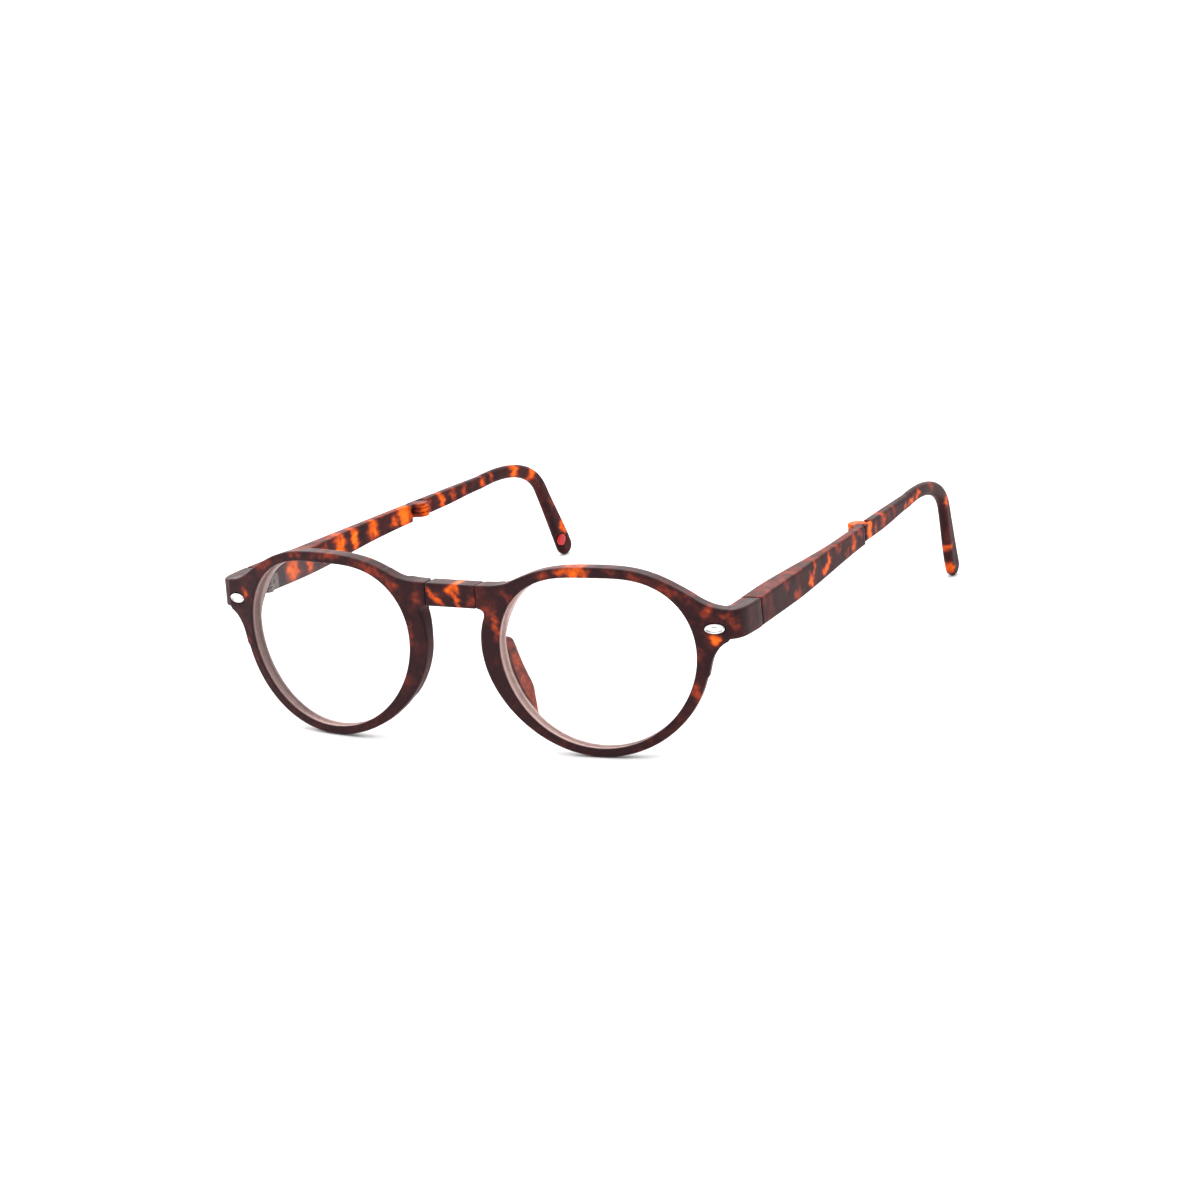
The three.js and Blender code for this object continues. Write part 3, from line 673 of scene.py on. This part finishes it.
class Nodes:
    """A short way to write a node tree: each call adds a node and returns its first output."""

    def __init__(self, name):
        self.material = bpy.data.materials.new(name)
        self.material.use_nodes = True
        self.tree = self.material.node_tree
        self.tree.nodes.clear()

    def add(self, kind, settings=None, output=0, **inputs):
        node = self.tree.nodes.new("ShaderNode" + kind)
        for key, value in (settings or {}).items():
            setattr(node, key, value)
        for key, value in inputs.items():
            socket = node.inputs[int(key[1:])] if key[1:].isdigit() else node.inputs[key.replace("_", " ")]
            if isinstance(value, bpy.types.NodeSocket):
                self.tree.links.new(value, socket)
            else:
                socket.default_value = value
        return node.outputs[output]

    def math(self, operation, a, b=0.0):
        return self.add("Math", {"operation": operation}, i0=a, i1=b)

    def ramp(self, value, stops):
        node = self.tree.nodes.new("ShaderNodeValToRGB")
        self.tree.links.new(value, node.inputs[0])
        marks = node.color_ramp.elements
        while len(marks) < len(stops):
            marks.new(0.5)
        for mark, (position, colour) in zip(marks, stops):
            mark.position = position
            mark.color = (*colour, 1)
        return node.outputs[0]

    def range(self, value, low, high, to_low, to_high):
        return self.add("MapRange", None, i0=value, i1=low, i2=high, i3=to_low, i4=to_high)

    def millimetres(self, stretch=(1, 1, 1)):
        own = self.add("TexCoord", None, 3)  # the piece's own coordinates, so the pattern moves with it
        return self.add("Mapping", None, Vector=own, Scale=tuple(v / MM for v in stretch))

    def noise(self, vector, scale, detail=2.0, roughness=0.5, distortion=0.0):
        return self.add("TexNoise", None, 0, Vector=vector, Scale=scale, Detail=detail, Roughness=roughness,
                        Distortion=distortion)

    def bump(self, height, strength, distance_mm):
        return self.add("Bump", None, 0, Height=height, Strength=strength, Distance=distance_mm * MM)

    def finish(self, shader):
        out = self.tree.nodes.new("ShaderNodeOutputMaterial")
        self.tree.links.new(shader, out.inputs[0])
        return self.material


PLUM = (0.03, 0.0105, 0.0125)
BROWN = (0.075, 0.017, 0.015)
RUST = (0.24, 0.034, 0.018)
ORANGE = (0.78, 0.105, 0.006)
LIGHT_AMBER = (0.95, 0.2, 0.014)
# Colour of the painted sheen on the wall round a lens.
PAINTED_WALL_SHEEN = (0.62, 0.44, 0.41)


def tortoise(name, stretch, level, gloss, sheen):
    """Satin soft-touch tortoiseshell: plum-brown, with rust mottling and the piece's own amber patches.

    The wall round a lens gets a painted pale sheen: a painted highlight where light glances off it.
    """
    n = Nodes(name)
    even = n.millimetres()
    blotch = n.noise(n.millimetres(stretch), 0.2, 3.0, 0.55, 0.5)
    mottle = n.noise(even, 0.7, 3.0, 0.55, 0.3)
    # The amber attribute holds the real amber patches and also painted light and shade: the rust top of a
    # temple, the rust nose pad, and fewer patches low on a rim.
    amber = n.add("Attribute", {"attribute_name": "amber"}, 2)
    wall = n.add("Attribute", {"attribute_name": "wall"}, 2)
    ragged = n.math("ADD", n.math("MULTIPLY", n.math("SUBTRACT", mottle, 0.5), 0.8), 1.0)
    patch_and_painted_light = n.math("MULTIPLY", n.math("MULTIPLY", amber, ragged), 0.55)
    ground = n.math("MULTIPLY", n.math("SUBTRACT", blotch, 0.5), 0.7)
    speck = n.math("MULTIPLY", n.math("SUBTRACT", mottle, 0.5), 0.35)
    value = n.math("ADD", n.math("ADD", n.math("ADD", ground, speck), patch_and_painted_light), level)
    colour = n.ramp(value, [(0.14, PLUM), (0.3, BROWN), (0.47, RUST), (0.7, ORANGE), (0.92, LIGHT_AMBER)])
    # Painted highlight: a pale pink sheen on the wall round a lens.
    painted_sheen_tone = n.ramp(mottle, [(0.3, tuple(0.8 * c for c in PAINTED_WALL_SHEEN)), (0.7, PAINTED_WALL_SHEEN)])
    colour = n.add("Mix", {"data_type": "RGBA"}, 2, i0=wall, i6=colour, i7=painted_sheen_tone)
    grain = n.noise(even, 7.0, 3.0, 0.6)
    rough = n.range(n.noise(even, 0.35, 3.0), 0.3, 0.7, 0.38, 0.5)
    shader = n.add("BsdfPrincipled", None, 0, Base_Color=colour, Roughness=rough, IOR=1.45,
                   Specular_IOR_Level=gloss, Normal=n.bump(grain, 0.15, 0.03), Sheen_Weight=sheen,
                   Sheen_Roughness=0.3, Sheen_Tint=(1.0, 0.6, 0.57, 1))
    return n.finish(shader)


def lens_glass():
    """Clear thin lens: a view straight through, under a faint mirror that is strongest at low angles."""
    n = Nodes("lens_clear")
    haze = n.noise(n.millimetres(), 0.05, 2.0)
    mirror = n.add("BsdfGlossy", None, 0, Color=(1, 1, 1, 1), Roughness=n.range(haze, 0.3, 0.7, 0.01, 0.03))
    clear = n.add("BsdfTransparent", None, 0, Color=(0.985, 0.99, 0.99, 1))
    facing = n.add("LayerWeight", None, 1, Blend=0.5)
    share = n.math("ADD", n.math("MULTIPLY", n.math("POWER", facing, 4.0), 0.5), 0.015)
    return n.finish(n.add("MixShader", None, 0, i0=share, i1=clear, i2=mirror))


def metal(name, colour, low_rough, high_rough, grain_scale, strength):
    """Metal with fine turning or polishing marks and slight smudges."""
    n = Nodes(name)
    even = n.millimetres()
    lines = n.noise(n.millimetres((1, 1, 6)), grain_scale, 4.0, 0.6)
    smudge = n.noise(even, 0.8, 3.0)
    tint = n.ramp(smudge, [(0.3, tuple(0.86 * c for c in colour)), (0.7, colour)])
    rough = n.range(smudge, 0.3, 0.7, low_rough, high_rough)
    shader = n.add("BsdfPrincipled", None, 0, Base_Color=tint, Metallic=1.0, Roughness=rough,
                   Normal=n.bump(lines, strength, 0.02))
    return n.finish(shader)


def enamel():
    n = Nodes("red_enamel")
    even = n.millimetres()
    cloud = n.noise(even, 0.7, 3.0)
    colour = n.ramp(cloud, [(0.3, (0.42, 0.008, 0.014)), (0.7, (0.62, 0.016, 0.022))])
    rough = n.range(cloud, 0.3, 0.7, 0.3, 0.4)
    waves = n.bump(n.noise(even, 1.4, 2.0), 0.08, 0.05)
    shader = n.add("BsdfPrincipled", None, 0, Base_Color=colour, Roughness=rough, Specular_IOR_Level=0.2,
                   Coat_Weight=0.12, Coat_Roughness=0.1, Normal=waves)
    return n.finish(shader)


MATERIALS = {
    "rim": tortoise("tortoise_rim", (1, 1, 1), 0.16, 0.1, 0.22),
    "temple": tortoise("tortoise_temple", (1, 1.0, 0.45), 0.18, 0.05, 0.1),
    "lens": lens_glass(),
    "rivet": metal("polished_rivet", (0.86, 0.85, 0.84), 0.1, 0.2, 2.0, 0.03),
    "screw": metal("turned_screw", (0.72, 0.71, 0.7), 0.18, 0.3, 5.0, 0.08),
    "hinge": metal("dark_hinge", (0.13, 0.1, 0.095), 0.3, 0.45, 3.0, 0.12),
    "enamel": enamel(),
}


# ---------- pieces ----------

def both_sides(node, body, material, build):
    """build(side name) gives points, faces and shades; the piece is mirrored for the right side."""
    for name, side in SIDES.items():
        points, faces, shades = build(name)
        add_piece(f"{name}_{node}_visual", points, faces, f"{name}_{body}", [f"{name}_{node}"],
                  MATERIALS[material], side, shades)


def moulded(field, low, high, step, to_wearing, shades_of):
    """A build rule for a field: meshes it once and shades it for each side."""
    points, quads = skin(field, low, high, step)
    placed = to_wearing(*points.T) if to_wearing else points
    return lambda name: (placed, quads, shades_of(name, points) if shades_of else None)


def rim_shades(name, points):
    """The bottom of a rim is plain and dark, a painted shade, and the nose pad is rust, a painted light.

    The wall round the lens gets a painted pale sheen, half as strong on the side away from the nose.
    """
    s, depth, h = front_space(*points.T)
    # Painted shade: fewer amber patches low on the rim, so that its bottom stays dark.
    painted_shade_low = 0.3 * ease((-17 - h) / 6)
    angle = np.arctan2(h - LENS_Z, s - LENS_S)
    opening = np.hypot(s - LENS_S, h - LENS_Z) - lens_radius(angle)
    # Painted sheen on the wall round the lens, weaker on the side away from the nose.
    wall = ease((depth - 0.1) / 0.4) * ease((rim_depth(h) - depth) / 0.2)
    wall = wall * ease((GROOVE_DEPTH + 0.5 - opening) / 0.3)
    wall = wall * mix(1, 0.5, ease((s - 36) / 12))
    # Painted light: the nose pad behind the rim is made rust, lighter than the rim.
    painted_pad_light = 0.5 * ease((depth - rim_depth(h)) / 0.5) * (s < 22)
    return {"amber": np.maximum(amber_at(s, h, RIM_PATCHES[name]) - painted_shade_low, painted_pad_light), "wall": wall}


def temple_shades(name, points):
    """Painted light: the upper face is rust. The fold's barrel is light on the left and brown on the right."""
    across, along, z = points.T
    patches = amber_at(along, z, TEMPLE_PATCHES[name])
    # Painted light: the top face is made rust, lighter, as if lit from above.
    painted_top_light = 0.32 * ease((z + 0.3) / 0.25) * ease((70 - along) / 10)
    at_barrel = (across < FOLD_ACROSS + 0.4) & (along > FOLD_SEAM - 0.3) & (along < 66)
    barrel = BARREL_AMBER[name] * at_barrel
    return {"amber": np.maximum(np.maximum(patches, painted_top_light), barrel)}


def make_front():
    step = 0.25
    both_sides("rim", "front", "rim",
               moulded(rim_field, (5.5, -3.2, -34), (69, 18.5, 11), (step,) * 3, None, rim_shades))
    points, quads = skin(link_field, (-10.5, -1, -2), (10.5, 5.5, 5.2), (0.16,) * 3)
    shades = {"amber": amber_at(points[:, 0], points[:, 2], LINK_PATCHES)}
    add_piece("bridge_link_visual", points, quads, "bridge", ["bridge_link"],
              MATERIALS["rim"], 1, shades)
    both_sides("lens", "front", "lens", lambda name: (*lens_mesh(), None))
    both_sides("end_rivet", "front", "rivet", lambda name: (*rivet_mesh(), None))


def make_hinges():
    small = (0.1,) * 3
    both_sides("hinge_front_leaf", "front", "hinge",
               moulded(front_leaf_field, (-8, -5.2, -6), (-4.6, 3.6, -0.3), small, from_temple, None))
    both_sides("hinge_temple_leaf", "temple", "hinge",
               moulded(temple_leaf_field, (-8, 0.4, -6), (-4.6, 10.6, -0.3), small, from_temple, None))
    both_sides("hinge_screw", "front", "screw",
               moulded(screw_field, (-7.6, 0.6, -5.8), (-4.8, 3.4, 0.2), (0.08,) * 3, from_temple, None))


def make_temples():
    step = ((0.2, 0.4, 0.2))
    both_sides("temple_front", "temple", "temple",
               moulded(temple_front_field, (-5.8, 1, -7), (1, 66, 1), step, from_temple, temple_shades))
    low, high = (-6.5, 59.4, -28.4), (1, 120, 1)
    plain = moulded(temple_rear_field, low, high, step, from_temple, temple_shades)
    pocketed = moulded(temple_rear_with_pocket, low, high, step, from_temple, temple_shades)
    both_sides("temple_rear", "ear_half", "temple",
               lambda name: (plain if name == "left" else pocketed)(name))
    points, faces = dot_mesh()
    add_piece("right_tip_dot_visual", points, faces, "right_ear_half", ["right_tip_dot"],
              MATERIALS["enamel"], -1)


def dress_pins():
    """The pins stay as the CAD nodes and only get a better material."""
    for name in SIDES:
        for node in ("bridge_pin", "fold_pin"):
            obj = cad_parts[f"{name}_{node}"]
            obj.data.materials.clear()
            obj.data.materials.append(MATERIALS["screw"])


# ---------- camera, floor and light ----------

BACKDROP = (-0.41, 0.64, 0.65)  # towards the brightest part of the studio
STUDIO_LOW, STUDIO_HIGH, STUDIO_STRENGTH = (0.1, 0.2), (0.85, 1.0), 1.15  # (place on the ramp, brightness)
SUN_FROM = (-0.25, 0.45, 1.0)
SUN_ANGLE, SUN_STRENGTH = 120 * RAD, 3.3
VIEW_AZIMUTH, VIEW_HEIGHT, VIEW_ROLL = 32.625 * RAD, 15.136 * RAD, 5.953 * RAD
VIEW_TARGET, VIEW_RIGHT, VIEW_UP, VIEW_DISTANCE = (0, 30, 0), 16.242, -9.356, 824.474
SENSOR, FOCAL_LENGTH = 36, 110.558
FLOOR_HALF = 12.0  # metres


def camera_axes():
    """The camera in the wearing frame: its right, up and back directions, and its place."""
    east, north = math.sin(VIEW_AZIMUTH), math.cos(VIEW_AZIMUTH)
    flat = math.cos(VIEW_HEIGHT)
    back = Vector((east * flat, -north * flat, math.sin(VIEW_HEIGHT)))
    right = Vector((north, east, 0))
    up = back.cross(right)
    eye = Vector(VIEW_TARGET) + VIEW_RIGHT * right + VIEW_UP * up + VIEW_DISTANCE * back
    level = math.cos(VIEW_ROLL) * right - math.sin(VIEW_ROLL) * up
    upright = math.sin(VIEW_ROLL) * right + math.cos(VIEW_ROLL) * up
    return level, upright, back, eye


def make_camera():
    level, upright, back, eye = camera_axes()
    stand = Matrix.Rotation(-STAND_TILT, 4, "X")
    turn = Matrix((level, upright, back)).transposed().to_4x4()
    shift = Matrix.Translation(Vector((0, STAND_Y, STAND_Z)) * MM)
    where = shift @ stand @ Matrix.Translation(eye * MM) @ turn
    data = bpy.data.cameras.new("camera")
    data.sensor_width = SENSOR
    data.lens = FOCAL_LENGTH
    data.clip_start = 0.01
    data.clip_end = 50
    camera = bpy.data.objects.new("camera", data)
    camera.matrix_world = where
    bpy.context.scene.collection.objects.link(camera)
    bpy.context.scene.camera = camera


def make_floor():
    mesh = bpy.data.meshes.new("floor")
    corners = [(x * FLOOR_HALF, y * FLOOR_HALF, 0) for x, y in ((-1, -1), (1, -1), (1, 1), (-1, 1))]
    mesh.from_pydata(corners, [], [(0, 1, 2, 3)])
    n = Nodes("floor_white")
    speckle = n.noise(n.millimetres(), 0.02, 2.0)
    colour = n.ramp(speckle, [(0.3, (0.9, 0.9, 0.9)), (0.7, (0.93, 0.93, 0.93))])
    mesh.materials.append(n.finish(n.add("BsdfPrincipled", None, 0, Base_Color=colour, Roughness=0.8)))
    floor = bpy.data.objects.new("floor", mesh)
    bpy.context.scene.collection.objects.link(floor)


def make_world():
    """A white studio that is brightest above and behind the glasses and dimmer in front of them."""
    world = bpy.data.worlds.new("studio")
    bpy.context.scene.world = world
    world.use_nodes = True
    tree = world.node_tree
    direction = tree.nodes.new("ShaderNodeTexCoord").outputs["Generated"]
    lean = tree.nodes.new("ShaderNodeVectorMath")
    lean.operation = "DOT_PRODUCT"
    lean.inputs[1].default_value = BACKDROP
    ramp = tree.nodes.new("ShaderNodeValToRGB")
    shift = tree.nodes.new("ShaderNodeMapRange")
    shift.inputs[1].default_value = -1
    tree.links.new(direction, lean.inputs[0])
    tree.links.new(lean.outputs["Value"], shift.inputs[0])
    tree.links.new(shift.outputs[0], ramp.inputs[0])
    low, high = ramp.color_ramp.elements
    for mark, (position, bright) in ((low, STUDIO_LOW), (high, STUDIO_HIGH)):
        mark.position = position
        mark.color = (bright, bright, bright, 1)
    background = tree.nodes["Background"]
    tree.links.new(ramp.outputs[0], background.inputs[0])
    background.inputs["Strength"].default_value = STUDIO_STRENGTH


def make_sun():
    """A very wide lamp high behind the glasses, for the light top faces."""
    data = bpy.data.lights.new("overhead", "SUN")
    data.angle = SUN_ANGLE
    data.energy = SUN_STRENGTH
    lamp = bpy.data.objects.new("overhead", data)
    lamp.rotation_euler = Vector(SUN_FROM).to_track_quat("Z", "Y").to_euler()
    bpy.context.scene.collection.objects.link(lamp)


bpy.context.scene.view_settings.view_transform = "Standard"
make_camera()
make_floor()
make_world()
make_sun()
make_front()
make_hinges()
make_temples()
dress_pins()

bpy.context.view_layer.update()
